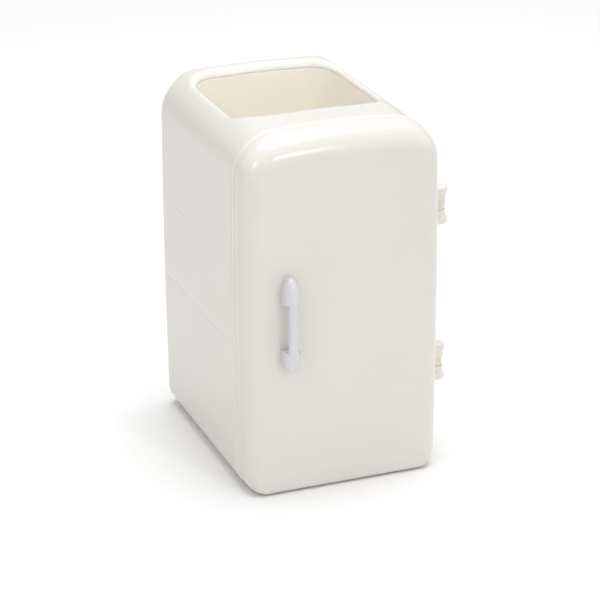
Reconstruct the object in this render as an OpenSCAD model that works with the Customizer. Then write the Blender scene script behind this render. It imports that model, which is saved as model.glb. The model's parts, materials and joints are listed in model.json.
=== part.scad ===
// Desk-top mini fridge: a rounded cabinet with a pen well in its crowned top, and a door hung on
// two outside hinges. The origin is on the standing plane, at the middle of the cabinet's width
// and of its closed depth. +X is the hinge side, -Y the door and +Z up. All lengths are in mm.

/* [Cabinet] */
// Width of the cabinet without its hinges
cabinet_w = 78; // [70:1:90]
// Height from the standing plane to the middle of the crowned top
cabinet_h = 139; // [130:1:150]
// Depth with the door closed, without the handle
closed_depth = 96.5; // [90:0.5:110]
// Wall thickness of the cabinet
wall = 2; // [1.6:0.1:2.6]
// Corner radius of the front view at the top
corner_top = 14; // [12.5:0.5:18]
// Corner radius of the front view at the bottom
corner_bottom = 8; // [7.8:0.1:12]
// How far the sides draw in at the top and bottom
side_bulge = 0.7; // [0:0.1:2]
// Height at which the sides are widest
widest_z = 62.5; // [50:0.5:90]
// How far the top falls from its middle to its sides
top_crown = 2.8; // [1:0.1:5]
// Rounding of the edges at the back
back_round = 4; // [2:0.5:6]

/* [Top well] */
// Width of the opening in the top
well_w = 58.6; // [50:0.2:60]
// Length of the opening from front to back
well_l = 60; // [50:0.5:62]
// Middle of the opening, measured backwards from the middle of the cabinet
well_y = 9.8; // [8:0.1:11]
// Corner radius of the opening
well_corner = 6.5; // [4:0.5:9]
// Depth of the turned-down lip round the opening
lip_depth = 3.5; // [3:0.1:5]
// Wall thickness of the pen cup
cup_wall = 1.3; // [1.2:0.1:1.4]

/* [Inside] */
// Height of the middle shelf's upper face
shelf_z = 57.5; // [50:0.5:65]
// Thickness of the middle shelf
shelf_t = 1.6; // [1.2:0.1:2.4]
// Height of the rails that carry the cup's side wings
wing_z = 90; // [80:0.5:110]

/* [Door] */
// Thickness of the door
door_t = 12; // [11:0.5:14]
// Height of the door's bottom edge above the standing plane
door_lift = 0.5; // [0.3:0.1:1]
// Gap between the door and the cabinet
seam_gap = 0.4; // [0.3:0.1:1]
// Rounding of the door's front edge along the top
door_round_top = 11; // [8:0.5:11]
// Rounding of the door's front edge down the sides
door_round_side = 7.5; // [4:0.5:7.5]
// Rounding of the door's front edge along the bottom
door_round_bottom = 2; // [1.5:0.5:4]
// Wall thickness of the door
door_wall = 1.8; // [1.4:0.1:2.2]
// How far the door racks reach into the cabinet
rack_reach = 9.5; // [7:0.5:10]

/* [Handle] */
// Middle of the handle across the door
handle_x = -22.2; // [-26:0.1:-18]
// Lowest point of the handle
handle_z = 50.5; // [40:0.5:55]
// Length of the handle
handle_l = 36; // [32:0.5:42]
// How far the handle stands out from the door
handle_out = 8.5; // [7.5:0.1:10]
// Widest part of the handle's feet
handle_w = 6; // [4.6:0.1:7]
// Length of the finger gap
handle_gap = 18; // [16:0.5:20]

/* [Hinges] */
// Height of the middle of the lower hinge
hinge_low_z = 36; // [30:0.5:45]
// Height of the middle of the upper hinge
hinge_high_z = 99.3; // [90:0.1:105]
// Height of one hinge
hinge_h = 14.8; // [13:0.1:17]
// How far the hinges reach past the cabinet's side
hinge_reach = 9; // [8:0.5:11]
// Distance of the hinge axis behind the seam
hinge_back = 6.2; // [5:0.1:8]
// Radius of the flared hinge knuckles
knuckle_r = 3.2; // [2.8:0.1:3.6]
// Radius of the hinge pins
pin_r = 1; // [0.8:0.1:1.2]

/* [Hidden] */
$fn = 48;
eps = 0.01;

ivory = [0.94, 0.92, 0.89];
cream = [0.93, 0.89, 0.82];
lilac = [0.86, 0.86, 0.90];
steel = [0.72, 0.72, 0.74];

// Planes along the depth
front_y = -closed_depth / 2;
back_y = closed_depth / 2;
seam_y = front_y + door_t;
door_rear = seam_y - seam_gap / 2;
mouth_y = seam_y + seam_gap / 2;

// Radius of the arc across the crowned top
crown_r = pow(cabinet_w / 2, 2) / (2 * top_crown) + top_crown / 2;

// Steps in a corner, along a side, along the top and round a front edge
corner_steps = 9;
side_steps = 7;
top_steps = 10;
edge_steps = 7;
break_edge = 0.4;

// Thickness of the turned-down lip
lip_wall = 1.6;

// Hinge axis and the plane that both leaves are let in to
axis_x = cabinet_w / 2 + hinge_reach - knuckle_r;
axis_y = seam_y + hinge_back;
leaf_in = cabinet_w / 2 - 0.7;
leaf_out = cabinet_w / 2 + 1.3;
leaf_front = seam_y - 7.2;
leaf_rear = seam_y - 0.8;
lug_front = seam_y + 2.8;
lug_rear = seam_y + 11.2;
lug_h = 3.5;
lug_plate_h = 9;
knuckle_gap = 0.2;
neck_r = 2.4;
flare_h = 3.4;
running = 0.05;

// Door rack and catch
liner_t = 1.2;
rack_half = 29;
rack_h = 14;
rack_wall = 1.2;
rack_low_z = 14;
rack_high_z = 84;
catch_z = 70;
catch_x = -33.6;
magnet_r = 2;
strike_t = 0.7;

// Screws: the handle's sit this far in from its two ends
screw_in = 5;
screw_r = 1;
lug_screw_r = 0.8;
lug_screw_l = 4.6;
liner_screw_r = 0.9;
liner_screw_l = 5;

// ---- outline of the front view ----

// A quarter turn of [x, z, normal x, normal z] points
function corner(cx, cz, r, from) =
  [for (i = [0:corner_steps]) let (a = from + 90 * i / corner_steps)
    [cx + r * cos(a), cz + r * sin(a), cos(a), sin(a)]];

// Points between the ends of a straight run, with one normal
function run(x0, z0, x1, z1, n, nx, nz) =
  [for (i = [1:n - 1]) [x0 + (x1 - x0) * i / n, z0 + (z1 - z0) * i / n, nx, nz]];

// The rounded rectangle inset by d, with its bottom at a height base, before the sides bulge and
// the top is crowned
function outline(d, base = 0) =
  let (h = cabinet_w / 2 - d, lo = base + d, hi = cabinet_h - d,
    rt = corner_top - d, rb = corner_bottom - d)
  concat(
    corner(h - rb, lo + rb, rb, -90),
    run(h, lo + rb, h, hi - rt, side_steps, 1, 0),
    corner(h - rt, hi - rt, rt, 0),
    run(h - rt, hi, rt - h, hi, top_steps, 0, 1),
    corner(rt - h, hi - rt, rt, 90),
    run(-h, hi - rt, -h, lo + rb, side_steps, -1, 0),
    corner(rb - h, lo + rb, rb, 180));

// Fall of the crowned top at a distance x from its middle
function crown_fall(x) = crown_r - sqrt(crown_r * crown_r - x * x);

// The bulge of the sides and the crown of the top, applied to one point
function shaped(x, z) =
  [x * (1 - side_bulge * 2 / cabinet_w * pow((z - widest_z) / (cabinet_h / 2), 2)),
    z - crown_fall(x) * pow(z / cabinet_h, 2)];

function flat_outline(d, base) = [for (p = outline(d, base)) shaped(p[0], p[1])];

// Rounding of an edge: r holds its radius at the top, the sides and the bottom
function edge_r(p, r) =
  let (t = pow(max(p[3], 0), 2), b = pow(max(-p[3], 0), 2)) r[0] * t + r[2] * b + r[1] * (1 - t - b);

// One ring of the outline: t turns from 0 on the end face to 90 on the side wall
function ring(d, y, dir, r, t, base = 0) =
  [for (p = outline(d, base)) let (k = edge_r(p, r), s = k * (1 - sin(t)),
    q = shaped(p[0] - p[2] * s, p[1] - p[3] * s)) [q[0], y + dir * k * (1 - cos(t)), q[1]]];

function plain_ring(d, y, base = 0) = ring(d, y, 1, [0, 0, 0], 90, base);

function less(r, w) = [for (v = r) max(v - w, 0.5)];

// Closed skin through a list of equal rings, with a flat cap at each end
module skin(rings) {
  n = len(rings[0]);
  m = len(rings);
  polyhedron(
    points = [for (r = rings) each r],
    faces = concat(
      [[for (i = [0:n - 1]) i]],
      [for (j = [0:m - 2], i = [0:n - 1]) let (k = (i + 1) % n)
        each [[j * n + k, j * n + i, (j + 1) * n + i], [j * n + k, (j + 1) * n + i, (j + 1) * n + k]]],
      [[for (i = [0:n - 1]) m * n - 1 - i]]),
    convexity = 6);
}

// Flat plate with the door's outline inset by d, from y to y + t
module plate(d, y, t)
  translate([0, y + t, 0]) rotate([90, 0, 0]) linear_extrude(t) polygon(flat_outline(d, door_lift));

module round_rect(w, l, r) {
  square([w - 2 * r, l], center = true);
  square([w, l - 2 * r], center = true);
  for (x = [-1, 1], y = [-1, 1])
    translate([x * (w / 2 - r), y * (l / 2 - r)]) circle(r);
}

// Cylinder along the depth, from y to y + l
module rod_y(x, y, z, r, l) translate([x, y + l, z]) rotate([90, 0, 0]) cylinder(r = r, h = l);

// Cylinder across the width, from x to x + l
module rod_x(x, y, z, r, l) translate([x, y, z]) rotate([0, 90, 0]) cylinder(r = r, h = l);

// Everything under the crown, lowered by d
module under_crown(d)
  translate([0, 0, cabinet_h - crown_r]) rotate([90, 0, 0])
    cylinder(r = crown_r - d, h = 2 * closed_depth, center = true, $fn = 360);

// Straight prism round the top opening, grown outwards by g
module well_prism(g, z0, z1)
  translate([0, well_y, z0]) linear_extrude(z1 - z0)
    round_rect(well_w + 2 * g, well_l + 2 * g, well_corner + g);

// ---- cabinet ----

back_edge = [back_round, back_round, back_round];

module shell_skin() {
  inner = less(back_edge, wall);
  edge = [break_edge, break_edge, break_edge];
  skin(concat(
    [for (i = [0:edge_steps]) ring(0, back_y, -1, back_edge, 90 * i / edge_steps)],
    [for (i = [2, 1, 0]) ring(0, mouth_y, 1, edge, 45 * i)],
    [plain_ring(wall, mouth_y)],
    [for (i = [4:-1:0]) ring(wall, back_y - wall, -1, inner, 90 * i / 4)]));
}

module lip() intersection() {
  difference() {
    well_prism(lip_wall, cabinet_h - 12, cabinet_h + 1);
    under_crown(lip_depth);
  }
  under_crown(wall - 0.2);
}

// Moulded ledge along one inner side wall
module side_rail(side, y0, y1, top_z) {
  reach = 3.2;
  inner = cabinet_w / 2 - wall;
  translate([side > 0 ? inner - reach : -inner - wall / 2, y0, top_z - wall])
    cube([reach + wall / 2, y1 - y0, wall]);
}

module body_shell() color(ivory) difference() {
  union() {
    shell_skin();
    lip();
    for (side = [-1, 1]) {
      side_rail(side, mouth_y + 4, back_y - wall - 1, shelf_z - shelf_t);
      side_rail(side, -2, 41, wing_z);
    }
  }
  well_prism(0, cabinet_h - 13, cabinet_h + 2);
  for (z = [hinge_low_z, hinge_high_z]) {
    translate([leaf_in, lug_front, z - lug_plate_h / 2])
      cube([wall, lug_rear - lug_front, lug_plate_h]);
    rod_x(leaf_in - wall, axis_y, z, screw_r, wall + 1);
  }
}

cup_clear = 0.4;
cup_corner = well_corner + cup_clear;
wing_w = 3.6;
wing_t = 1.4;

module pen_cup() color(cream) {
  grow = cup_clear + cup_wall;
  difference() {
    intersection() {
      well_prism(grow, shelf_z, cabinet_h);
      under_crown(lip_depth + 0.25);
    }
    well_prism(cup_clear, shelf_z + cup_wall, cabinet_h + 1);
  }
  for (side = [-1, 1])
    translate([side > 0 ? well_w / 2 + grow - 0.3 : -well_w / 2 - grow - wing_w, 0, wing_z])
      cube([wing_w + 0.3, 39, wing_t]);
}

module middle_shelf() color(cream) {
  half = cabinet_w / 2 - wall - 0.4;
  translate([-half, mouth_y + 3, shelf_z - shelf_t])
    cube([2 * half, back_y - wall - mouth_y - 4, shelf_t]);
}

// Cabinet half of a hinge: a let-in plate and one knuckle
module hinge_lug(z) color(cream) difference() {
  union() {
    translate([leaf_in, lug_front, z - lug_plate_h / 2])
      cube([1.6, lug_rear - lug_front, lug_plate_h]);
    translate([leaf_in, axis_y - neck_r, z - lug_h / 2])
      cube([axis_x - leaf_in, 2 * neck_r, lug_h]);
    translate([axis_x, axis_y, z - lug_h / 2]) cylinder(r = neck_r, h = lug_h);
  }
  translate([axis_x, axis_y, z - lug_h]) cylinder(r = pin_r, h = 2 * lug_h);
  rod_x(leaf_in - 1, axis_y, z, lug_screw_r, lug_screw_l + 1);
}

// Screws from inside the cabinet that hold the two lugs
module lug_screws() color(steel) {
  inner = cabinet_w / 2 - wall - 0.05;
  for (z = [hinge_low_z, hinge_high_z]) {
    rod_x(inner, axis_y, z, lug_screw_r, leaf_in + lug_screw_l - inner);
    rod_x(inner - 0.9, axis_y, z, 1.6, 0.9);
  }
}

// Plain pin that ends inside both door knuckles
module hinge_pin(z) color(steel)
  translate([axis_x, axis_y, z - hinge_h / 2 + 0.5]) cylinder(r = pin_r, h = hinge_h - 1);

module magnet_holder() color(cream) difference() {
  side = -cabinet_w / 2 + wall + 0.02;
  translate([side, mouth_y + 0.6, catch_z - 4]) cube([catch_x + magnet_r + 1.2 - side, 6, 8]);
  rod_y(catch_x, mouth_y, catch_z, magnet_r, 4.6);
}

module catch_magnet() color(steel) rod_y(catch_x, mouth_y + 0.6, catch_z, magnet_r, 4);

// ---- door ----

door_edge = [door_round_top, door_round_side, door_round_bottom];

module door_skin() {
  inner = less(door_edge, door_wall);
  edge = [break_edge, break_edge, break_edge];
  skin(concat(
    [for (i = [0:4]) ring(door_wall, front_y + door_wall, 1, inner, 90 * i / 4, door_lift)],
    [plain_ring(door_wall, door_rear, door_lift)],
    [for (i = [0, 1, 2]) ring(0, door_rear, -1, edge, 45 * i, door_lift)],
    [for (i = [edge_steps:-1:0]) ring(0, front_y, 1, door_edge, 90 * i / edge_steps, door_lift)]));
}

module handle_rods(y, r, l)
  for (z = [handle_z + screw_in, handle_z + handle_l - screw_in]) rod_y(handle_x, y, z, r, l);

// Rods at the four places where the liner is screwed on
module liner_rods(y, r, l) for (x = [-23, 23], z = [45, 112]) rod_y(x, y, z, r, l);

// Posts that the liner is fixed to
module liner_posts() {
  from = front_y + door_wall / 2;
  liner_rods(from, 2.4, door_rear - liner_t - from);
}

module door_shell() color(ivory) difference() {
  union() {
    door_skin();
    liner_posts();
  }
  for (z = [hinge_low_z, hinge_high_z])
    translate([leaf_in, leaf_front, z - hinge_h / 2]) cube([wall, leaf_rear - leaf_front, hinge_h]);
  handle_rods(front_y - 1, screw_r + 0.15, door_wall + 2);
  liner_rods(door_rear - liner_t - liner_screw_l, liner_screw_r, liner_screw_l + 1);
}

module door_liner() color(cream) difference() {
  plate(door_wall + 0.1, door_rear - liner_t, liner_t);
  liner_rods(door_rear - 2 * liner_t, liner_screw_r, 3 * liner_t);
}

module liner_screws() color(steel) {
  liner_rods(door_rear - liner_t - liner_screw_l, liner_screw_r, liner_screw_l + liner_t);
  liner_rods(door_rear, 1.8, 1);
}

// Tray on the inner face of the door, open at the top
module door_rack(z) color(cream) difference() {
  translate([-rack_half, door_rear, z]) cube([2 * rack_half, rack_reach, rack_h]);
  translate([-rack_half + rack_wall, door_rear + rack_wall, z + rack_wall])
    cube([2 * (rack_half - rack_wall), rack_reach - 2 * rack_wall, rack_h]);
}

// Door half of a hinge: a leaf let in to the door's side and two flared knuckles
module door_hinge(z) color(ivory) difference() {
  knuckle = (hinge_h - lug_h) / 2 - knuckle_gap;
  union() {
    translate([leaf_in, leaf_front, z - hinge_h / 2])
      cube([leaf_out - leaf_in, leaf_rear - leaf_front, hinge_h]);
    for (end = [-1, 1]) {
      inner = z + end * (lug_h / 2 + knuckle_gap);
      outer = z + end * hinge_h / 2;
      translate([0, 0, min(inner, outer)]) {
        translate([axis_x, axis_y, 0]) cylinder(r = neck_r, h = knuckle);
        linear_extrude(knuckle) polygon([
          [leaf_in, leaf_rear], [leaf_in, leaf_front + 1], [leaf_out, leaf_front + 1],
          [axis_x + neck_r * cos(-30), axis_y + neck_r * sin(-30)],
          [axis_x + neck_r * cos(150), axis_y + neck_r * sin(150)],
          [leaf_out, leaf_rear]]);
      }
      translate([axis_x, axis_y, min(outer, outer - end * flare_h)])
        cylinder(r = knuckle_r, h = flare_h);
    }
  }
  translate([axis_x, axis_y, z - hinge_h]) cylinder(r = pin_r + running, h = 2 * hinge_h);
}

// Half width of the handle at a height u from 0 to 1: rounded ends, full feet, slim grip
function handle_half(u) =
  let (v = abs(2 * u - 1), grip = handle_w * 0.31, foot = handle_w / 2)
  v < 0.44 ? grip : v < 0.62 ? grip + (foot - grip) * pow(sin(90 * (v - 0.44) / 0.18), 2)
    : foot * sqrt(max(0, 1 - pow((v - 0.62) / 0.38, 2.4))) + 0.02;

// Height of the handle's back above the door at a height u from 0 to 1
function handle_rise(u) =
  let (v = abs(2 * u - 1)) v < 0.42 ? handle_out
    : 0.9 + (handle_out - 0.9) * (1 - pow((v - 0.42) / 0.58, 1.7));

module handle() color(lilac) {
  steps = 28;
  grip_t = 3;
  difference() {
    intersection() {
      translate([handle_x, front_y + eps, handle_z]) rotate([90, 0, 0]) linear_extrude(handle_out)
        polygon(concat(
          [for (i = [0:steps]) [handle_half(i / steps), handle_l * i / steps]],
          [for (i = [steps:-1:0]) [-handle_half(i / steps), handle_l * i / steps]]));
      translate([handle_x - handle_w, 0, handle_z]) rotate([90, 0, 90])
        linear_extrude(2 * handle_w) polygon(concat(
          [[front_y, 0]],
          [for (i = [0:steps]) [front_y - handle_rise(i / steps), handle_l * i / steps]],
          [[front_y, handle_l]]));
    }
    translate([handle_x, front_y, handle_z + handle_l / 2]) rotate([0, 90, 0])
      linear_extrude(2 * handle_w, center = true)
        round_rect(handle_gap, 2 * (handle_out - grip_t), 2.4);
    handle_rods(front_y - 3.4, screw_r, 4);
  }
}

module handle_screws() color(steel) {
  inside = front_y + door_wall;
  handle_rods(inside - door_wall - 3.2, screw_r, door_wall + 3.2);
  handle_rods(inside, 1.9, 1.2);
}

module strike_plate() color(steel) rod_y(catch_x, door_rear, catch_z, 2.4, strike_t);

body_shell();
pen_cup();
middle_shelf();
hinge_lug(hinge_high_z);  // hinge_lug_upper
hinge_lug(hinge_low_z);  // hinge_lug_lower
hinge_pin(hinge_high_z);  // hinge_pin_upper
hinge_pin(hinge_low_z);  // hinge_pin_lower
lug_screws();
magnet_holder();
catch_magnet();
door_shell();
door_liner();
liner_screws();
door_rack(rack_high_z);  // door_rack_upper
door_rack(rack_low_z);  // door_rack_lower
door_hinge(hinge_high_z);  // door_hinge_upper
door_hinge(hinge_low_z);  // door_hinge_lower
handle();
handle_screws();
strike_plate();
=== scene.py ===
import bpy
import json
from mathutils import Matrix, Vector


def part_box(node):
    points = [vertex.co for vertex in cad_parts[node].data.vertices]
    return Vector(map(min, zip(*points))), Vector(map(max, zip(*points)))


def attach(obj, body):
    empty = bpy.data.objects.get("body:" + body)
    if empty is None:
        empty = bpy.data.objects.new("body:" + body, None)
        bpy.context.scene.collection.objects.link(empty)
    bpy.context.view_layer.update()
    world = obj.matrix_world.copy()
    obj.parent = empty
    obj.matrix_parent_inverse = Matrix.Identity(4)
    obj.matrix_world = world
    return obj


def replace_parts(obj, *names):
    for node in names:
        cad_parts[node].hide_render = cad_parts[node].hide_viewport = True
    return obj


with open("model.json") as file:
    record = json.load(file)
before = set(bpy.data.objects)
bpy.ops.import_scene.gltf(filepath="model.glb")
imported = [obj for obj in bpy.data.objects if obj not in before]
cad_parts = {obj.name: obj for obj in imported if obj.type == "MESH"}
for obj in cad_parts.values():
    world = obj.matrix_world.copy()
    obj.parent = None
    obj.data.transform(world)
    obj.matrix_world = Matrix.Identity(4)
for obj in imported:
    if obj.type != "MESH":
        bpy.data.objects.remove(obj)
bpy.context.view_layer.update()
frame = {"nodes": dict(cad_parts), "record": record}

import json
import math

import bmesh
import bpy
from mathutils import Matrix, Vector

MM = 0.001

# ---- sizes, in millimetres, from the frame ----


def span(node):
    """Lowest and highest corner of a CAD node, in millimetres."""
    low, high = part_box(node)
    return low / MM, high / MM


shell_low, shell_high = span("body_shell")
door_low, door_high = span("door_shell")
cup_low, cup_high = span("pen_cup")
grip_low, grip_high = span("handle")
shelf_low, shelf_high = span("middle_shelf")
pin_low, pin_high = span("hinge_pin_upper")
HINGE_AXIS = (pin_low + pin_high) / 2
HANDLE_X = (grip_low.x + grip_high.x) / 2
FOOT_LOW_L = 8.0
FOOT_HIGH_L = 10.2
GAP_LOW = grip_low.z + FOOT_LOW_L
GAP_HIGH = grip_high.z - FOOT_HIGH_L
WING_Z = 90.0

WIDTH = shell_high.x - shell_low.x
HEIGHT = shell_high.z
MOUTH = shell_low.y
BACK = shell_high.y
FRONT = door_low.y
DOOR_REAR = door_high.y
LIFT = door_low.z

# Shape of the front view, as the CAD model has it
CORNER_TOP = 14.0
CORNER_BOTTOM = 8.0
SIDE_BULGE = 0.7
WIDEST = 62.5
CROWN = 2.8
CROWN_R = (WIDTH / 2) ** 2 / (2 * CROWN) + CROWN / 2
WALL = 2.0
DOOR_WALL = 1.8
BACK_ROUND = 4.0
DOOR_ROUND = (11.0, 7.5, 2.0)

# The opening in the top. Its side rims stand a little above the plain crown.
WELL_X = 28.9
WELL_FRONT = -18.6
WELL_REAR = 39.8
WELL_CORNER = 10.5
LIP_ROUND = 3.1
LIP_WALL = 1.6
RIM_LIFT = 0.55

CORNER_STEPS = 16
SIDE_STEPS = 30
TOP_STEPS = 24

# Shallow marks that the inner rails leave in the side walls: height, and where they run
RAIL_MARKS = ((57.5, -27.0, 41.0), (89.6, 10.0, 37.0))
MARK_DEPTH = 0.16
MARK_SHIFTS = (-1.4, -0.9, -0.45, 0.0, 0.45, 0.9, 1.4)


# ---- outline ----


def quarter(cx, cz, r, start):
    """Points of a quarter turn, each with its normal. Start is in degrees."""
    points = []
    for i in range(CORNER_STEPS + 1):
        a = math.radians(start + 90 * i / CORNER_STEPS)
        points.append((cx + r * math.cos(a), cz + r * math.sin(a), math.cos(a), math.sin(a)))
    return points


def ease(value, low, high):
    """Smooth step from 0 at low to 1 at high."""
    t = min(max((value - low) / (high - low), 0), 1)
    return t * t * (3 - 2 * t)


def side_heights(low, high):
    """Even steps up a side, with closer ones at the rail marks."""
    even = [low + (high - low) * i / SIDE_STEPS for i in range(1, SIDE_STEPS)]
    far = [z for z in even if min(abs(z - mark[0]) for mark in RAIL_MARKS) > 2]
    return sorted(far + [mark[0] + shift for mark in RAIL_MARKS for shift in MARK_SHIFTS])


SIDE_COUNT = len(side_heights(CORNER_BOTTOM, HEIGHT - CORNER_TOP))


def run(start, end, steps, normal):
    """Points between the ends of a straight stretch."""
    points = []
    for i in range(1, steps):
        t = i / steps
        x = start[0] + (end[0] - start[0]) * t
        z = start[1] + (end[1] - start[1]) * t
        points.append((x, z, *normal))
    return points


def outline(inset=0.0, base=0.0):
    """The rounded rectangle of the front view, counter-clockwise from its bottom right corner."""
    half = WIDTH / 2 - inset
    low, high = base + inset, HEIGHT - inset
    rt, rb = CORNER_TOP - inset, CORNER_BOTTOM - inset
    side = side_heights(CORNER_BOTTOM, HEIGHT - CORNER_TOP)
    return (quarter(half - rb, low + rb, rb, -90)
            + [(half, z, 1, 0) for z in side]
            + quarter(half - rt, high - rt, rt, 0)
            + run((half - rt, high), (rt - half, high), TOP_STEPS, (0, 1))
            + quarter(rt - half, high - rt, rt, 90)
            + [(-half, z, -1, 0) for z in reversed(side)]
            + quarter(rb - half, low + rb, rb, 180))


def shaped(x, z):
    """Bulges the sides and crowns the top."""
    draw_in = SIDE_BULGE * 2 / WIDTH * ((z - WIDEST) / (HEIGHT / 2)) ** 2
    fall = CROWN_R - math.sqrt(CROWN_R ** 2 - x ** 2)
    return x * (1 - draw_in), z - fall * (z / HEIGHT) ** 2


def ring(inset, y, direction, radii, turn, base=0.0):
    """One loop round the outline. Turn goes from 0 on the end face to 90 on the side wall."""
    s, c = math.sin(math.radians(turn)), math.cos(math.radians(turn))
    points = []
    for x, z, nx, nz in outline(inset, base):
        top, bottom = max(nz, 0) ** 2, max(-nz, 0) ** 2
        r = radii[0] * top + radii[2] * bottom + radii[1] * (1 - top - bottom)
        px, pz = shaped(x - nx * r * (1 - s), z - nz * r * (1 - s))
        points.append(Vector((px, y + direction * r * (1 - c), pz)))
    return points


def straight(inset, y, base=0.0):
    return ring(inset, y, 1, (0, 0, 0), 90, base)


def rim_lift(x, y, z):
    """How far the top stands proud beside the opening."""
    across = ease(abs(x), 10, 26) * (1 - ease(abs(x), 28, 34))
    return RIM_LIFT * across * ease(y, -33, -19) * ease(z, 100, 130)


def dented(p):
    """Presses the rail marks into a side wall."""
    if abs(p.x) < WIDTH / 2 - 2:
        return p
    depth = 0
    for z, y0, y1 in RAIL_MARKS:
        window = ease(p.y, y0 - 3, y0 + 3) * (1 - ease(p.y, y1 - 3, y1 + 3))
        depth += MARK_DEPTH * window * math.exp(-((p.z - z) / 0.55) ** 2)
    return Vector((p.x - math.copysign(depth, p.x), p.y, p.z))


def lifted(p):
    return Vector((p.x, p.y, p.z + rim_lift(*p)))


# ---- mesh helpers ----


def add_loop(bm, points):
    return [bm.verts.new(p * MM) for p in points]


def bridge(bm, first, second):
    """Quads between two loops of the same length."""
    n = len(first)
    for i in range(n):
        k = (i + 1) % n
        bm.faces.new((first[i], first[k], second[k], second[i]))


def bridge_all(bm, loops):
    for first, second in zip(loops, loops[1:]):
        bridge(bm, first, second)


CAP_END = 15.0


def cap(bm, loop, shrink=(0.985, 0.9, 0.7, 0.4)):
    """Closes a flat, tall loop with ever smaller ones. They draw in to an upright line that ends
    CAP_END from the loop's ends, as the corners would fold if they drew in to one point."""
    lowest, highest = min(v.co.z for v in loop), max(v.co.z for v in loop)
    last = loop
    for share in shrink:
        smaller = []
        for v in loop:
            z = min(max(v.co.z, lowest + CAP_END * MM), highest - CAP_END * MM)
            target = Vector((0, v.co.y, z))
            smaller.append(bm.verts.new(target + (v.co - target) * share))
        bridge(bm, last, smaller)
        last = smaller
    bm.faces.new(last)


def painted_light(bm, loop, amount):
    """Marks a loop for painted light. The loop takes that share of the paler colour: a painted glow
    where light would shine through the lip's thin plastic, and a painted highlight on the door's seam
    bead.
    """
    layer = bm.verts.layers.float["painted_light"]
    for v in loop:
        v[layer] = amount


def shut(bm, rows):
    """Skin through the rows, with a face at each end."""
    bridge_all(bm, rows)
    bm.faces.new(rows[0])
    bm.faces.new(rows[-1])


def lathe(bm, centre, axis, profile, steps=32, dent=None):
    """Turns (radius, distance along the axis) pairs round an axis through the centre. Dent gives
    the depth pressed in at a place on the end, such as a screw's recess."""
    axis = Vector(axis)
    side = axis.orthogonal().normalized()
    other = axis.cross(side)
    rows = []
    for radius, along in profile:
        points = []
        for i in range(steps):
            a = math.tau * i / steps
            u, v = radius * math.cos(a), radius * math.sin(a)
            depth = dent(u, v) if dent and along > 0 else 0
            points.append(centre + side * u + other * v + axis * (along - depth))
        rows.append(add_loop(bm, points))
    shut(bm, rows)


def plan(low, high, r, grow=0.0, steps=6):
    """Rounded rectangle from low to high, as counter-clockwise (u, v) points."""
    r += grow
    u0, v0 = low[0] - grow + r, low[1] - grow + r
    u1, v1 = high[0] + grow - r, high[1] + grow - r
    points = []
    for (u, v), start in (((u1, v0), -90), ((u1, v1), 0), ((u0, v1), 90), ((u0, v0), 180)):
        for i in range(steps + 1):
            a = math.radians(start + 90 * i / steps)
            points.append((u + r * math.cos(a), v + r * math.sin(a)))
    return points


# For each thin axis, the two axes that a plate's plan lies in
PLAN_AXES = {"x": (1, 2), "y": (0, 2), "z": (0, 1)}


def slab(bm, low, high, r, soft, up="z"):
    """Plate from low to high with rounded corners and softened edges; up is its thin axis."""
    w_axis = "xyz".index(up)
    u_axis, v_axis = PLAN_AXES[up]
    plan_low, plan_high = (low[u_axis], low[v_axis]), (high[u_axis], high[v_axis])
    rows = []
    for level, way, turns in ((low[w_axis], 1, (0, 30, 60, 90)), (high[w_axis], -1, (90, 60, 30, 0))):
        for turn in turns:
            a = math.radians(turn)
            row = []
            for u, v in plan(plan_low, plan_high, r, -soft * (1 - math.sin(a))):
                p = Vector()
                p[u_axis], p[v_axis], p[w_axis] = u, v, level + way * soft * (1 - math.cos(a))
                row.append(p)
            rows.append(add_loop(bm, row))
    shut(bm, rows)


def make_object(bm, name, material, body):
    """Turns the mesh into a smooth piece that rides on a body and fills a material slot."""
    bmesh.ops.recalc_face_normals(bm, faces=bm.faces)
    mesh = bpy.data.meshes.new(name)
    bm.to_mesh(mesh)
    bm.free()
    for face in mesh.polygons:
        face.use_smooth = True
    piece = bpy.data.objects.new(name, mesh)
    bpy.context.scene.collection.objects.link(piece)
    mesh.materials.append(material)
    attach(piece, body)
    return piece


# ---- materials ----


def new_material(name):
    material = bpy.data.materials.new(name)
    material.use_nodes = True
    nodes = material.node_tree.nodes
    return material, nodes, material.node_tree.links, nodes["Principled BSDF"]


# Socket numbers of a colour mix node
MIX_FIRST, MIX_SECOND, MIX_RESULT = 6, 7, 2


def noise(nodes, links, scale, detail):
    """Noise laid over the piece's own coordinates."""
    coords = nodes.new("ShaderNodeTexCoord")
    field = nodes.new("ShaderNodeTexNoise")
    field.inputs["Scale"].default_value = scale
    field.inputs["Detail"].default_value = detail
    links.new(coords.outputs["Object"], field.inputs["Vector"])
    return field.outputs["Fac"]


def vary_roughness(nodes, links, shader, field, least, most):
    level = nodes.new("ShaderNodeMapRange")
    level.inputs["To Min"].default_value = least
    level.inputs["To Max"].default_value = most
    links.new(field, level.inputs["Value"])
    links.new(level.outputs["Result"], shader.inputs["Roughness"])


def add_bump(nodes, links, shader, field, strength, distance):
    bump = nodes.new("ShaderNodeBump")
    bump.inputs["Strength"].default_value = strength
    bump.inputs["Distance"].default_value = distance
    links.new(field, bump.inputs["Height"])
    links.new(bump.outputs["Normal"], shader.inputs["Normal"])


def blend_towards(nodes, links, share, colour):
    """A mix that goes towards the colour by the share. Its first colour is still to be set."""
    mix = nodes.new("ShaderNodeMix")
    mix.data_type = "RGBA"
    mix.inputs[MIX_SECOND].default_value = (*colour, 1)
    links.new(share, mix.inputs[0])
    return mix


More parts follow.
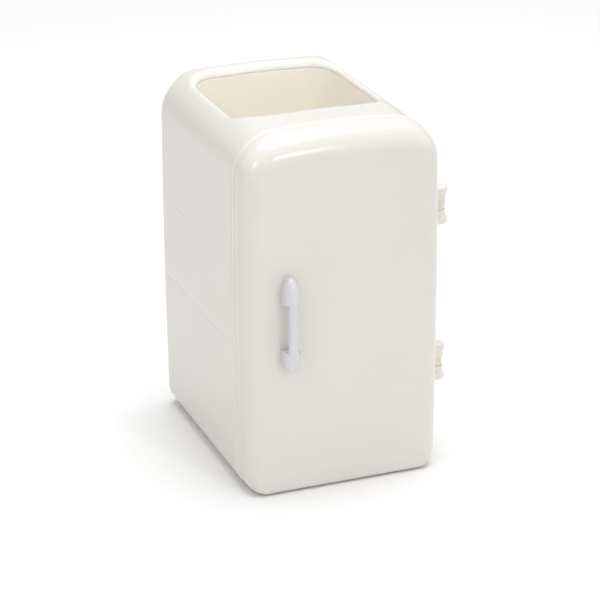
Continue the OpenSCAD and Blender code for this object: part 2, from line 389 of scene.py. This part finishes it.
def plastic(name, colour, deeper, roughness, painted_light_colour=None):
    """Moulded plastic: slow drifts of tone, faint flow marks and a very fine surface ripple.
    The painted-light colour is a paler colour mixed in on marked loops: a painted glow on the thin
    lip and a painted highlight on the seam bead."""
    material, nodes, links, shader = new_material(name)
    spread = 0.05
    tint = blend_towards(nodes, links, noise(nodes, links, 22, 2), deeper)
    tint.inputs[MIX_FIRST].default_value = (*colour, 1)
    # Painted light: marked loops are mixed towards the paler colour, for a painted glow on the lip
    # and a painted highlight on the seam bead.
    if painted_light_colour:
        mark = nodes.new("ShaderNodeAttribute")
        mark.attribute_name = "painted_light"
        painted_light_mix = blend_towards(nodes, links, mark.outputs["Fac"], painted_light_colour)
        links.new(tint.outputs[MIX_RESULT], painted_light_mix.inputs[MIX_FIRST])
        tint = painted_light_mix
    links.new(tint.outputs[MIX_RESULT], shader.inputs["Base Color"])
    smudge = noise(nodes, links, 60, 4)
    vary_roughness(nodes, links, shader, smudge, roughness - spread / 2, roughness + spread / 2)
    add_bump(nodes, links, shader, noise(nodes, links, 45, 1), 0.02, 0.001)
    shader.inputs["IOR"].default_value = 1.5
    return material


def metal(name, colour, roughness):
    """Plated steel with fine turning marks."""
    material, nodes, links, shader = new_material(name)
    marks = noise(nodes, links, 900, 3)
    vary_roughness(nodes, links, shader, marks, roughness - 0.08, roughness + 0.1)
    add_bump(nodes, links, shader, marks, 0.15, 0.0001)
    shader.inputs["Base Color"].default_value = (*colour, 1)
    shader.inputs["Metallic"].default_value = 1
    return material


# Ivory plastic. Its paler second colour is painted light, used only on marked loops.
IVORY = plastic("ivory_plastic", (0.725, 0.697, 0.662), (0.711, 0.68, 0.642), 0.2,
                painted_light_colour=(0.87, 0.85, 0.81))
CREAM = plastic("cream_plastic", (0.965, 0.92, 0.845), (0.95, 0.903, 0.82), 0.36)
LILAC = plastic("lilac_plastic", (0.655, 0.657, 0.69), (0.64, 0.642, 0.678), 0.16)
# Painted shade: a darker, yellower copy of the hinge plastic for the lug, whose knuckle sits in a
# recess between the door's knuckles.
SHADED_LUG_CREAM = plastic("lug_plastic_painted_shade", (0.74, 0.705, 0.62), (0.72, 0.68, 0.585), 0.3)
HINGE = plastic("hinge_plastic", (0.775, 0.745, 0.71), (0.755, 0.725, 0.685), 0.25)
STEEL = metal("zinc_steel", (0.72, 0.72, 0.74), 0.35)
NICKEL = metal("nickel", (0.66, 0.66, 0.68), 0.22)

CAD_MATERIALS = {"inner": CREAM, "hinge": HINGE, "steel": STEEL, "magnet": NICKEL,
                 "shell": IVORY, "grip": LILAC}
for part in frame["record"]["subparts"]:
    node_mesh = frame["nodes"][part["node"]].data
    node_mesh.materials.clear()
    node_mesh.materials.append(CAD_MATERIALS[part["material_slot"]])


# ---- the opening in the top ----

TOP_SCALE = 1 - SIDE_BULGE * 2 / WIDTH * ((HEIGHT - WIDEST) / (HEIGHT / 2)) ** 2


ARC_STEPS = 6


def on_corner(corner, degrees):
    """A point on a corner, which is given as (x, y, radius)."""
    a = math.radians(degrees)
    return (corner[0] + corner[2] * math.cos(a), corner[1] + corner[2] * math.sin(a))


def well_side(start, corner_a, corner_b, steps):
    """One side of the opening, from the middle of a corner to the middle of the next one.
    Start is the first corner's angle at its middle, in degrees."""
    points = [on_corner(corner_a, start + 45 * i / ARC_STEPS) for i in range(ARC_STEPS + 1)]
    first, end = points[-1], on_corner(corner_b, start + 45)
    middle = steps - 2 * ARC_STEPS
    for i in range(1, middle):
        t = i / middle
        points.append((first[0] + (end[0] - first[0]) * t, first[1] + (end[1] - first[1]) * t))
    return points + [on_corner(corner_b, start + 45 + 45 * i / ARC_STEPS) for i in range(ARC_STEPS)]


def well_loop(grow, across=40, along=40):
    """The opening's rounded rectangle, grown outwards, as plan points. It starts at the front
    right corner and goes along the right side first."""
    r = WELL_CORNER + grow
    x = WELL_X - WELL_CORNER
    y0, y1 = WELL_FRONT + WELL_CORNER, WELL_REAR - WELL_CORNER
    corners = [(x, y0, r), (x, y1, r), (-x, y1, r), (-x, y0, r)]
    steps = [along, across, along, across]
    points = []
    for i in range(4):
        points += well_side(-45 + 90 * i, corners[i], corners[(i + 1) % 4], steps[i])
    return points


def raw_top(x, inset):
    """Height of the outline over a plan position, before the crown."""
    flat = WIDTH / 2 - CORNER_TOP
    r = CORNER_TOP - inset
    over = min(max(abs(x) - flat, 0), r)
    return HEIGHT - CORNER_TOP + math.sqrt(max(r * r - over * over, 0))


def on_top(x, y, inset=0.0, drop=0.0):
    """A point on the top skin; x is the true distance from the middle."""
    raw = x / TOP_SCALE
    px, pz = shaped(raw, raw_top(raw, inset))
    return lifted(Vector((px, y, pz - drop)))


def lip_foot(x, y, below=0.0):
    """A point level with the lower end of the lip's rounding."""
    return on_top(x, y, 0, LIP_ROUND + below)


# ---- cabinet shell ----


def skin_with_opening(bm, loops, first, last, left, right, hole, inset):
    """Bridges the loops, leaving out a window over the top, and fills that window round the hole.
    First and last are loop numbers; right and left are point numbers on a loop."""
    for j in range(len(loops) - 1):
        n = len(loops[j])
        for i in range(n):
            k = (i + 1) % n
            if first <= j < last and right <= i < left:
                continue
            bm.faces.new((loops[j][i], loops[j][k], loops[j + 1][k], loops[j + 1][i]))
    frame_loop = [loops[j][right] for j in range(first, last)]
    frame_loop += [loops[last][i] for i in range(right, left)]
    frame_loop += [loops[j][left] for j in range(last, first, -1)]
    frame_loop += [loops[first][i] for i in range(left, right, -1)]
    previous = hole
    for share in (0.08, 0.2, 0.38, 0.6, 0.8):
        middle = []
        for inner, outer in zip(hole, frame_loop):
            x = inner.co.x + (outer.co.x - inner.co.x) * share
            y = inner.co.y + (outer.co.y - inner.co.y) * share
            middle.append(bm.verts.new(on_top(x / MM, y / MM, inset) * MM))
        bridge(bm, previous, middle)
        previous = middle
    bridge(bm, previous, frame_loop)


SEAM_CLOSER = 0.1
RAIL_REACH = 3.2


def build_cabinet():
    """Outer and inner skins joined at the mouth and at the lip of the opening, with side rails."""
    bm = bmesh.new()
    bm.verts.layers.float.new("painted_light")
    into_corner = 7
    right = CORNER_STEPS + SIDE_COUNT + 1 + into_corner
    left = right + (CORNER_STEPS - into_corner) * 2 + TOP_STEPS
    across = left - right
    levels = 34
    mouth = MOUTH - SEAM_CLOSER
    y_first, y_last = MOUTH + 2, BACK - BACK_ROUND
    back = (BACK_ROUND, BACK_ROUND, BACK_ROUND)
    mouth_edge = ((0.4, 0), (0.12, 0.04), (0, 0.2))
    outer = [straight(inset, mouth + behind) for inset, behind in mouth_edge]
    first = len(outer)
    outer += [straight(0, y_first + (y_last - y_first) * i / levels) for i in range(levels + 1)]
    last = len(outer) - 1
    outer += [ring(0, BACK, -1, back, 90 - 90 * i / 10) for i in range(1, 11)]
    outer_loops = [add_loop(bm, [dented(lifted(p)) for p in points]) for points in outer]

    lip = []
    for i in range(9):
        turn = math.radians(90 * i / 8)
        grow = LIP_ROUND * (1 - math.sin(turn))
        drop = LIP_ROUND * (1 - math.cos(turn))
        lip.append([on_top(x, y, 0, drop) for x, y in well_loop(grow, across, levels)])
    for grow, below in ((0.08, 0.08), (LIP_WALL, 0.08)):
        lip.append([lip_foot(x, y, below) for x, y in well_loop(grow, across, levels)])
    lip_loops = [add_loop(bm, points) for points in lip]
    # Painted glow: the lip's lower, inner loops are marked paler, as if light shone through the thin
    # plastic.
    for i, loop in enumerate(lip_loops):
        painted_light(bm, loop, ease(i, 2, 7))
    bridge_all(bm, lip_loops)
    skin_with_opening(bm, outer_loops, first, last, left, right, lip_loops[0], 0)
    cap(bm, outer_loops[-1])

    inner_r = BACK_ROUND - WALL
    inner_length = y_last - inner_r - y_first
    inner_round = (inner_r, inner_r, inner_r)
    inner = [straight(WALL, mouth)]
    inner += [straight(WALL, y_first + inner_length * i / levels) for i in range(levels + 1)]
    inner += [ring(WALL, BACK - WALL, -1, inner_round, 90 - 90 * i / 5) for i in range(0, 6)]
    inner_loops = [add_loop(bm, [lifted(p) for p in points]) for points in inner]
    under = add_loop(bm, [on_top(x, y, WALL) for x, y in well_loop(LIP_WALL, across, levels)])
    bridge(bm, lip_loops[-1], under)
    skin_with_opening(bm, inner_loops, 1, levels + 1, left, right, under, WALL)
    cap(bm, inner_loops[-1])
    bridge(bm, inner_loops[0], outer_loops[0])
    in_wall, tip = WIDTH / 2 - WALL / 2, WIDTH / 2 - WALL - RAIL_REACH
    for z, y0, y1 in ((shelf_low.z, MOUTH + 4, BACK - WALL - 1), (WING_Z, -2, 41)):
        for side in (-1, 1):
            x0, x1 = sorted((side * in_wall, side * tip))
            slab(bm, (x0, y0, z - WALL), (x1, y1, z), 0.9, 0.4)
    return make_object(bm, "cabinet_shell", IVORY, "cabinet")


# ---- door shell ----


def build_door():
    """Outer and inner skins of the door. A fine bead runs round its rear edge, along the seam."""
    bm = bmesh.new()
    bm.verts.layers.float.new("painted_light")
    inner_round = tuple(max(r - DOOR_WALL, 0.5) for r in DOOR_ROUND)
    rear = DOOR_REAR + SEAM_CLOSER
    bead = ((0.45, 0), (0.1, 0), (-0.1, 0.1), (-0.2, 0.34), (-0.1, 0.58), (0, 0.7))
    outer = [straight(inset, rear - ahead, LIFT) for inset, ahead in bead]
    outer += [ring(0, FRONT, 1, DOOR_ROUND, 90 - 90 * i / 20, LIFT) for i in range(0, 21)]
    outer_loops = [add_loop(bm, points) for points in outer]
    # Painted highlight: the seam bead's loops are marked paler, for a bright line along the seam.
    for loop in outer_loops[1:5]:
        painted_light(bm, loop, 0.9)
    bridge_all(bm, outer_loops)
    cap(bm, outer_loops[-1])
    inner = [straight(DOOR_WALL, rear, LIFT)]
    for i in range(0, 7):
        inner.append(ring(DOOR_WALL, FRONT + DOOR_WALL, 1, inner_round, 90 - 90 * i / 6, LIFT))
    inner_loops = [add_loop(bm, points) for points in inner]
    bridge_all(bm, inner_loops)
    cap(bm, inner_loops[-1])
    bridge(bm, inner_loops[0], outer_loops[0])
    return make_object(bm, "door_outer", IVORY, "door")


# ---- pen cup, shelf, liner and racks ----


CUP_WALL = 1.3
CUP_DRAFT = 1.1
CUP_FLOOR_ROUND = 3.6
# How far the last loop on the floor is drawn in. It stays less than the corners' radius, as the
# corners would turn inside out past it.
CUP_CLOSE = 9.0


def build_cup():
    """Deep cup whose rim closes against the lip all round, with drafted walls and a soft floor."""
    bm = bmesh.new()
    base = cup_low.z
    floor_z = base + CUP_WALL
    top = HEIGHT - LIP_ROUND
    depth = top - floor_z
    inside = 0.04 + CUP_DRAFT
    profile = [(-CUP_CLOSE, base), (-3, base), (-1.2, base + 0.25), (-0.3, base + 1)]
    profile += [(0.6, base + 2.2), (CUP_WALL, top - 0.4), (CUP_WALL - 0.2, top - 0.1)]
    profile += [(CUP_WALL - 0.45, top - 0.04), (0.12, top - 0.04), (-0.02, top - 0.12)]
    profile += [(-0.04 - CUP_DRAFT * i / 12, top - 0.3 - (depth - 4) * i / 12) for i in range(13)]
    for i in range(1, 7):
        a = math.radians(15 * i)
        grow = -inside - CUP_FLOOR_ROUND * (1 - math.cos(a))
        profile.append((grow, floor_z + CUP_FLOOR_ROUND * (1 - math.sin(a))))
    profile += [(-7, floor_z), (-CUP_CLOSE, floor_z)]
    rows = []
    for grow, z in profile:
        share = ease(z, top - 12, top - 0.5)
        row = []
        for x, y in well_loop(grow):
            drop = lip_foot(x, y, 0.1).z - top
            row.append(Vector((x, y, z + drop * share)))
        rows.append(add_loop(bm, row))
    shut(bm, rows)
    for side in (-1, 1):
        x0, x1 = sorted((side * (WELL_X + 0.6), side * (WELL_X + 5)))
        slab(bm, (x0, 0, WING_Z), (x1, 39, WING_Z + 1.4), 0.9, 0.4)
    return make_object(bm, "pen_cup_shell", CREAM, "cabinet")


def build_shelf():
    """Middle shelf with a stiffening flange under its front edge."""
    bm = bmesh.new()
    slab(bm, shelf_low, shelf_high, 1.6, 0.5)
    front = shelf_low.y
    flange_x = shelf_high.x - 4
    flange_low = (-flange_x, front + 0.1, shelf_low.z - 1.2)
    flange_high = (flange_x, front + 1.5, shelf_high.z - 0.6)
    slab(bm, flange_low, flange_high, 0.6, 0.4)
    return make_object(bm, "middle_shelf_plate", CREAM, "cabinet")


def build_liner():
    """Flat inner panel of the door with softened edges."""
    bm = bmesh.new()
    low, high = span("door_liner")
    inset = DOOR_WALL + 0.1
    levels = ((inset + 0.3, low.y), (inset, low.y + 0.2), (inset, high.y - 0.35),
              (inset + 0.1, high.y - 0.12), (inset + 0.35, high.y))
    rows = [add_loop(bm, straight(grow, y, LIFT)) for grow, y in levels]
    bridge_all(bm, rows)
    cap(bm, rows[0])
    cap(bm, rows[-1])
    return make_object(bm, "door_liner_plate", CREAM, "door")


def build_rack(node):
    """Open tray with drafted walls, a rolled rim and a soft floor."""
    bm = bmesh.new()
    low, high = span(node)
    wall = 1.2
    corner = 3.9
    z0, z1 = low.z, high.z
    profile = [(-3, z0), (-1.2, z0), (-0.5, z0 + 0.15), (-0.15, z0 + 0.5), (-0.02, z0 + 1.1)]
    profile += [(0, z1 - 1.5), (0, z1 - 0.5), (-0.18, z1 - 0.14), (-0.6, z1), (-1.02, z1 - 0.14)]
    profile += [(-wall, z1 - 0.5), (-wall - 0.1, z0 + 2.6), (-wall - 0.3, z0 + 1.9)]
    profile += [(-wall - 0.8, z0 + 1.4), (-wall - 1.4, z0 + wall), (-3.4, z0 + wall)]
    rows = []
    for grow, z in profile:
        around = plan((low.x, low.y), (high.x, high.y), corner, grow, 8)
        rows.append(add_loop(bm, [Vector((u, v, z)) for u, v in around]))
    shut(bm, rows)
    return make_object(bm, node + "_tray", CREAM, "door")


# ---- hinges ----

# Outline of one door knuckle: distance from the hinge's middle, and radius
KNUCKLE = ((1.86, 2.4), (1.9, 2.5), (2.1, 2.56), (4.0, 2.56), (4.25, 2.6), (4.4, 2.72), (4.6, 2.98),
           (4.85, 3.14), (5.2, 3.2), (6.5, 3.2), (6.9, 3.12), (7.15, 2.92), (7.3, 2.6), (7.36, 2.1))

# Outline of the cabinet's knuckle between them: height from the hinge's middle, and radius
LUG = ((-1.83, 2.1), (-1.78, 2.25), (-1.4, 2.32), (-1.0, 2.26), (0.0, 2.22), (1.0, 2.26),
       (1.4, 2.32), (1.78, 2.25), (1.83, 2.1))
PLATE_T = 0.9


def arm_loop(z, r, before, after):
    """Section of a knuckle and its arm: an arc round the hinge axis between two runs of points."""
    points = [Vector((x, y, z)) for x, y in before]
    for i in range(19):
        a = math.radians(180 * i / 18 - 90)
        points.append(Vector((HINGE_AXIS.x + r * math.cos(a), HINGE_AXIS.y + r * math.sin(a), z)))
    return points + [Vector((x, y, z)) for x, y in after]


def build_door_hinge(node):
    """Two flared knuckles on L-shaped arms. An arm passes outside the lug's plate, then runs
    forward along the cabinet's side to the leaf, out of sight behind the door's edge."""
    bm = bmesh.new()
    low, high = span(node)
    middle = (low.z + high.z) / 2
    side = WIDTH / 2
    seam = DOOR_REAR
    leaf_low = (low.x, seam - 4.2, low.z + 0.05)
    leaf_high = (side + 0.5, seam - 0.9, high.z - 0.05)
    slab(bm, leaf_low, leaf_high, 1.1, 0.25, "x")
    for end in (-1, 1):
        rows = []
        for along, r in KNUCKLE:
            before = [(side + 0.1, seam - 2.6), (side + 0.85, seam - 2.2)]
            before += [(side + 0.9, seam + 1.2), (side + 1.8, HINGE_AXIS.y - r)]
            after = [(side + 1.0, HINGE_AXIS.y + 0.8), (side + 1.0, seam + 2.6)]
            after.append((side + 0.1, seam + 1.8))
            rows.append(add_loop(bm, arm_loop(middle + end * along, r, before, after)))
        shut(bm, rows)
    return make_object(bm, node + "_leaf", HINGE, "door")


def build_lug(node):
    """Plate on the cabinet's side, with a slim neck out to the middle knuckle."""
    bm = bmesh.new()
    low, high = span(node)
    middle = (low.z + high.z) / 2
    plate_out = WIDTH / 2 + PLATE_T
    slab(bm, low, (plate_out, high.y, high.z), 1.2, 0.4, "x")
    rows = []
    for along, r in LUG:
        before = [(low.x + 0.4, HINGE_AXIS.y - r), (plate_out - 0.3, HINGE_AXIS.y - r)]
        after = [(plate_out - 0.3, HINGE_AXIS.y + r), (low.x + 0.4, HINGE_AXIS.y + r)]
        rows.append(add_loop(bm, arm_loop(middle + along, r, before, after)))
    shut(bm, rows)
    # The lug's darker plastic is painted shade.
    return make_object(bm, node + "_knuckle", SHADED_LUG_CREAM, "cabinet")


def build_pin(node):
    """Plain pin with chamfered ends, inside both door knuckles."""
    bm = bmesh.new()
    low, high = span(node)
    foot = Vector((HINGE_AXIS.x, HINGE_AXIS.y, low.z))
    length = high.z - low.z
    r = (high.x - low.x) / 2
    profile = [(0.2, 0), (0.7 * r, 0), (r, 0.3), (r, length - 0.3), (0.7 * r, length), (0.2, length)]
    lathe(bm, foot, (0, 0, 1), profile)
    return make_object(bm, node + "_steel", STEEL, "cabinet")


def cross_recess(size, depth):
    """Depth of a cross-shaped driver recess at a place on a screw's head."""
    def dent(u, v):
        inside = math.hypot(u, v) < size and min(abs(u), abs(v)) < size * 0.24
        return depth if inside else 0
    return dent


def screw(bm, seat, axis, head_r, head_h, shank_r, shank_l):
    """Pan-head screw; seat is where the head meets the part, and the axis points out of it."""
    profile = [(0.1, -shank_l), (shank_r * 0.6, -shank_l + 0.1), (shank_r, -shank_l + 0.7)]
    turns = int(shank_l / 0.6) - 2
    for i in range(turns * 2):
        profile.append((shank_r * (1 if i % 2 else 0.8), -shank_l + 0.9 + 0.3 * i))
    profile += [(shank_r, 0), (head_r, 0), (head_r, head_h * 0.35)]
    for i in range(1, 12):
        r = head_r * (1 - i / 12)
        profile.append((r, head_h * (0.35 + 0.65 * math.sqrt(1 - (r / head_r) ** 2))))
    lathe(bm, seat, axis, profile, 48, cross_recess(head_r * 0.62, head_h * 0.4))


def build_screws(node, body, seats, axis, sizes):
    """One screw at each seat. Sizes are head radius and height, then shank radius and length."""
    bm = bmesh.new()
    for seat in seats:
        screw(bm, seat, axis, *sizes)
    return make_object(bm, node + "_turned", STEEL, body)


# ---- handle ----

GRIP_H = 6.6
GAP_H = 3.8
BAR_W = 3.3
FOOT_W = 6.0
FOOT_ROUND = 2.7
UNDERCUT = 0.28

# From foot to bar: distance past the foot, height of the underside, share of the bar's width
NECK = ((0.06, 0.5, 0.03), (0.12, GAP_H * 0.6, 0.12), (0.2, GAP_H * 0.85, 0.35),
        (0.35, GAP_H * 0.95, 0.7), (0.7, GAP_H, 0.93), (1.3, GAP_H, 1))
NECK_L = 1.4


def handle_loop(z, base, top, width, slope=0.0):
    """Section across the handle: a rounded form from base to top above the door. The slope
    raises it away from the door."""
    rt = min(FOOT_ROUND, width * 0.46, (top - base) * 0.46)
    rb = min(0.9 if base > 1 else 0.12, width * 0.4)
    corners = ((width / 2 - rb, base + rb, rb, -90), (width / 2 - rt, top - rt, rt, 0),
               (rt - width / 2, top - rt, rt, 90), (rb - width / 2, base + rb, rb, 180))
    points = []
    for cx, ch, r, start in corners:
        for i in range(9):
            a = math.radians(start + 90 * i / 8)
            x, out = cx + r * math.cos(a), ch + r * math.sin(a)
            points.append(Vector((HANDLE_X + x, FRONT - out, z + slope * out)))
    return points


def foot(tip, gap, blunt, tip_top, slope):
    """Sections of one foot, from its tip to the finger gap. Blunt is the share of its full
    width that it has at the tip, and tip_top its height there."""
    length = abs(gap - tip)
    way = 1 if gap > tip else -1
    rows = []
    steps = 18
    for i in range(steps + 1):
        t = (i / steps) ** 1.8
        full = blunt + (1 - blunt) * math.sqrt(1 - (1 - t) ** 2)
        top = tip_top + (GRIP_H - tip_top) * math.sqrt(1 - (1 - t) ** 2.2)
        rows.append(handle_loop(tip + way * length * t, 0, top, FOOT_W * full, slope))
    for ahead, base, share in NECK:
        width = FOOT_W + (BAR_W - FOOT_W) * share
        rows.append(handle_loop(gap + way * ahead, base, GRIP_H, width, slope))
    return rows


def build_handle():
    """Two feet joined by a slim bar, as one smooth skin."""
    bm = bmesh.new()
    rows = foot(grip_low.z, GAP_LOW, 0.32, 2.2, 0)
    steps = 10
    for i in range(1, steps):
        z = GAP_LOW + NECK_L + (GAP_HIGH - GAP_LOW - 2 * NECK_L) * i / steps
        rows.append(handle_loop(z, GAP_H, GRIP_H, BAR_W, UNDERCUT * i / steps))
    rows += reversed(foot(grip_high.z, GAP_HIGH, 0.08, 2.0, UNDERCUT))
    shut(bm, [add_loop(bm, row) for row in rows])
    return make_object(bm, "handle_grip", LILAC, "door")


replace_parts(build_cabinet(), "body_shell")
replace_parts(build_door(), "door_shell")
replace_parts(build_cup(), "pen_cup")
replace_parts(build_shelf(), "middle_shelf")
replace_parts(build_liner(), "door_liner")
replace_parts(build_handle(), "handle")
for end in ("upper", "lower"):
    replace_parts(build_rack("door_rack_" + end), "door_rack_" + end)
    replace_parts(build_door_hinge("door_hinge_" + end), "door_hinge_" + end)
    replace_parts(build_lug("hinge_lug_" + end), "hinge_lug_" + end)
    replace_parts(build_pin("hinge_pin_" + end), "hinge_pin_" + end)


def build_liner_screws():
    low, high = span("liner_screws")
    sizes = (1.8, 1.0, 0.9, 6.2)
    head_r = sizes[0]
    xs, zs = (low.x + head_r, high.x - head_r), (low.z + head_r, high.z - head_r)
    seats = [Vector((x, DOOR_REAR, z)) for x in xs for z in zs]
    return build_screws("liner_screws", "door", seats, (0, 1, 0), sizes)


def build_handle_screws():
    low, high = span("handle_screws")
    sizes = (1.9, 1.2, 1.0, 5.0)
    zs = (low.z + sizes[0], high.z - sizes[0])
    seats = [Vector((HANDLE_X, FRONT + DOOR_WALL, z)) for z in zs]
    return build_screws("handle_screws", "door", seats, (0, 1, 0), sizes)


def build_lug_screws():
    low, high = span("lug_screws")
    sizes = (1.6, 0.9, 0.8, 5.9)
    zs = (low.z + sizes[0], high.z - sizes[0])
    seats = [Vector((low.x + sizes[1], HINGE_AXIS.y, z)) for z in zs]
    return build_screws("lug_screws", "cabinet", seats, (-1, 0, 0), sizes)


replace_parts(build_liner_screws(), "liner_screws")
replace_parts(build_handle_screws(), "handle_screws")
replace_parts(build_lug_screws(), "lug_screws")


# ---- floor, light and camera ----


def add_floor():
    bpy.ops.mesh.primitive_plane_add(size=12)
    floor = bpy.context.object
    floor.name = "floor"
    material, nodes, links, shader = new_material("floor_white")
    shader.inputs["Base Color"].default_value = (0.89, 0.89, 0.89, 1)
    shader.inputs["Roughness"].default_value = 0.9
    floor.data.materials.append(material)


PICTURE_PX = 600


def add_camera(place, azimuth, elevation, roll, focal_px):
    """Level camera turned to the azimuth and elevation, then rolled; angles in degrees."""
    azimuth, elevation = math.radians(azimuth), math.radians(elevation)
    level_part = math.cos(elevation)
    forward = Vector((math.sin(azimuth) * level_part, math.cos(azimuth) * level_part,
                      -math.sin(elevation)))
    level = forward.cross(Vector((0, 0, 1))).normalized()
    rightward = Matrix.Rotation(math.radians(roll), 3, forward) @ level
    upward = rightward.cross(forward)
    data = bpy.data.cameras.new("camera")
    data.sensor_width = 36
    data.lens = focal_px / PICTURE_PX * data.sensor_width
    data.clip_start = 0.01
    camera = bpy.data.objects.new("camera", data)
    basis = Matrix((rightward, upward, -forward)).transposed().to_4x4()
    camera.matrix_world = Matrix.Translation(place) @ basis
    bpy.context.scene.collection.objects.link(camera)
    bpy.context.scene.camera = camera


def add_world(dim, bright, towards):
    """White surround that is brightest towards one direction and dimmest opposite it."""
    world = bpy.data.worlds.new("studio")
    world.use_nodes = True
    nodes, links = world.node_tree.nodes, world.node_tree.links
    coords = nodes.new("ShaderNodeTexCoord")
    along = nodes.new("ShaderNodeVectorMath")
    along.operation = "DOT_PRODUCT"
    along.inputs[1].default_value = Vector(towards).normalized()
    links.new(coords.outputs["Generated"], along.inputs[0])
    level = nodes.new("ShaderNodeMapRange")
    level.inputs["From Min"].default_value = -1
    level.inputs["To Min"].default_value = dim
    level.inputs["To Max"].default_value = bright
    links.new(along.outputs["Value"], level.inputs["Value"])
    links.new(level.outputs["Result"], nodes["Background"].inputs["Strength"])
    nodes["Background"].inputs["Color"].default_value = (1, 1, 1, 1)
    bpy.context.scene.world = world


def softbox(name, direction, distance, size, power):
    """Area light that far from the middle of the object, in that direction."""
    data = bpy.data.lights.new(name, "AREA")
    data.shape = "RECTANGLE"
    data.size, data.size_y = size
    data.energy = power
    lamp = bpy.data.objects.new(name, data)
    target = Vector((0, 0, 0.08))
    lamp.location = target + Vector(direction).normalized() * distance
    lamp.rotation_euler = (target - lamp.location).to_track_quat("-Z", "Y").to_euler()
    bpy.context.scene.collection.objects.link(lamp)


add_floor()
add_camera(place=(-0.29182, -0.76445, 0.38993), azimuth=20.95, elevation=22.2, roll=0.358,
           focal_px=2302.97)
add_world(0.3, 0.82, (0.45, -0.45, 0.65))
softbox("key", (-0.62, -0.5, 0.61), 0.42, (0.075, 0.09), 0.17)
softbox("front", (0.22, -0.82, 0.49), 1.0, (0.055, 0.13), 0.8)
softbox("top", (0.08, 0.08, 1.0), 1.1, (0.9, 0.9), 9)
bpy.context.scene.view_settings.view_transform = "Standard"
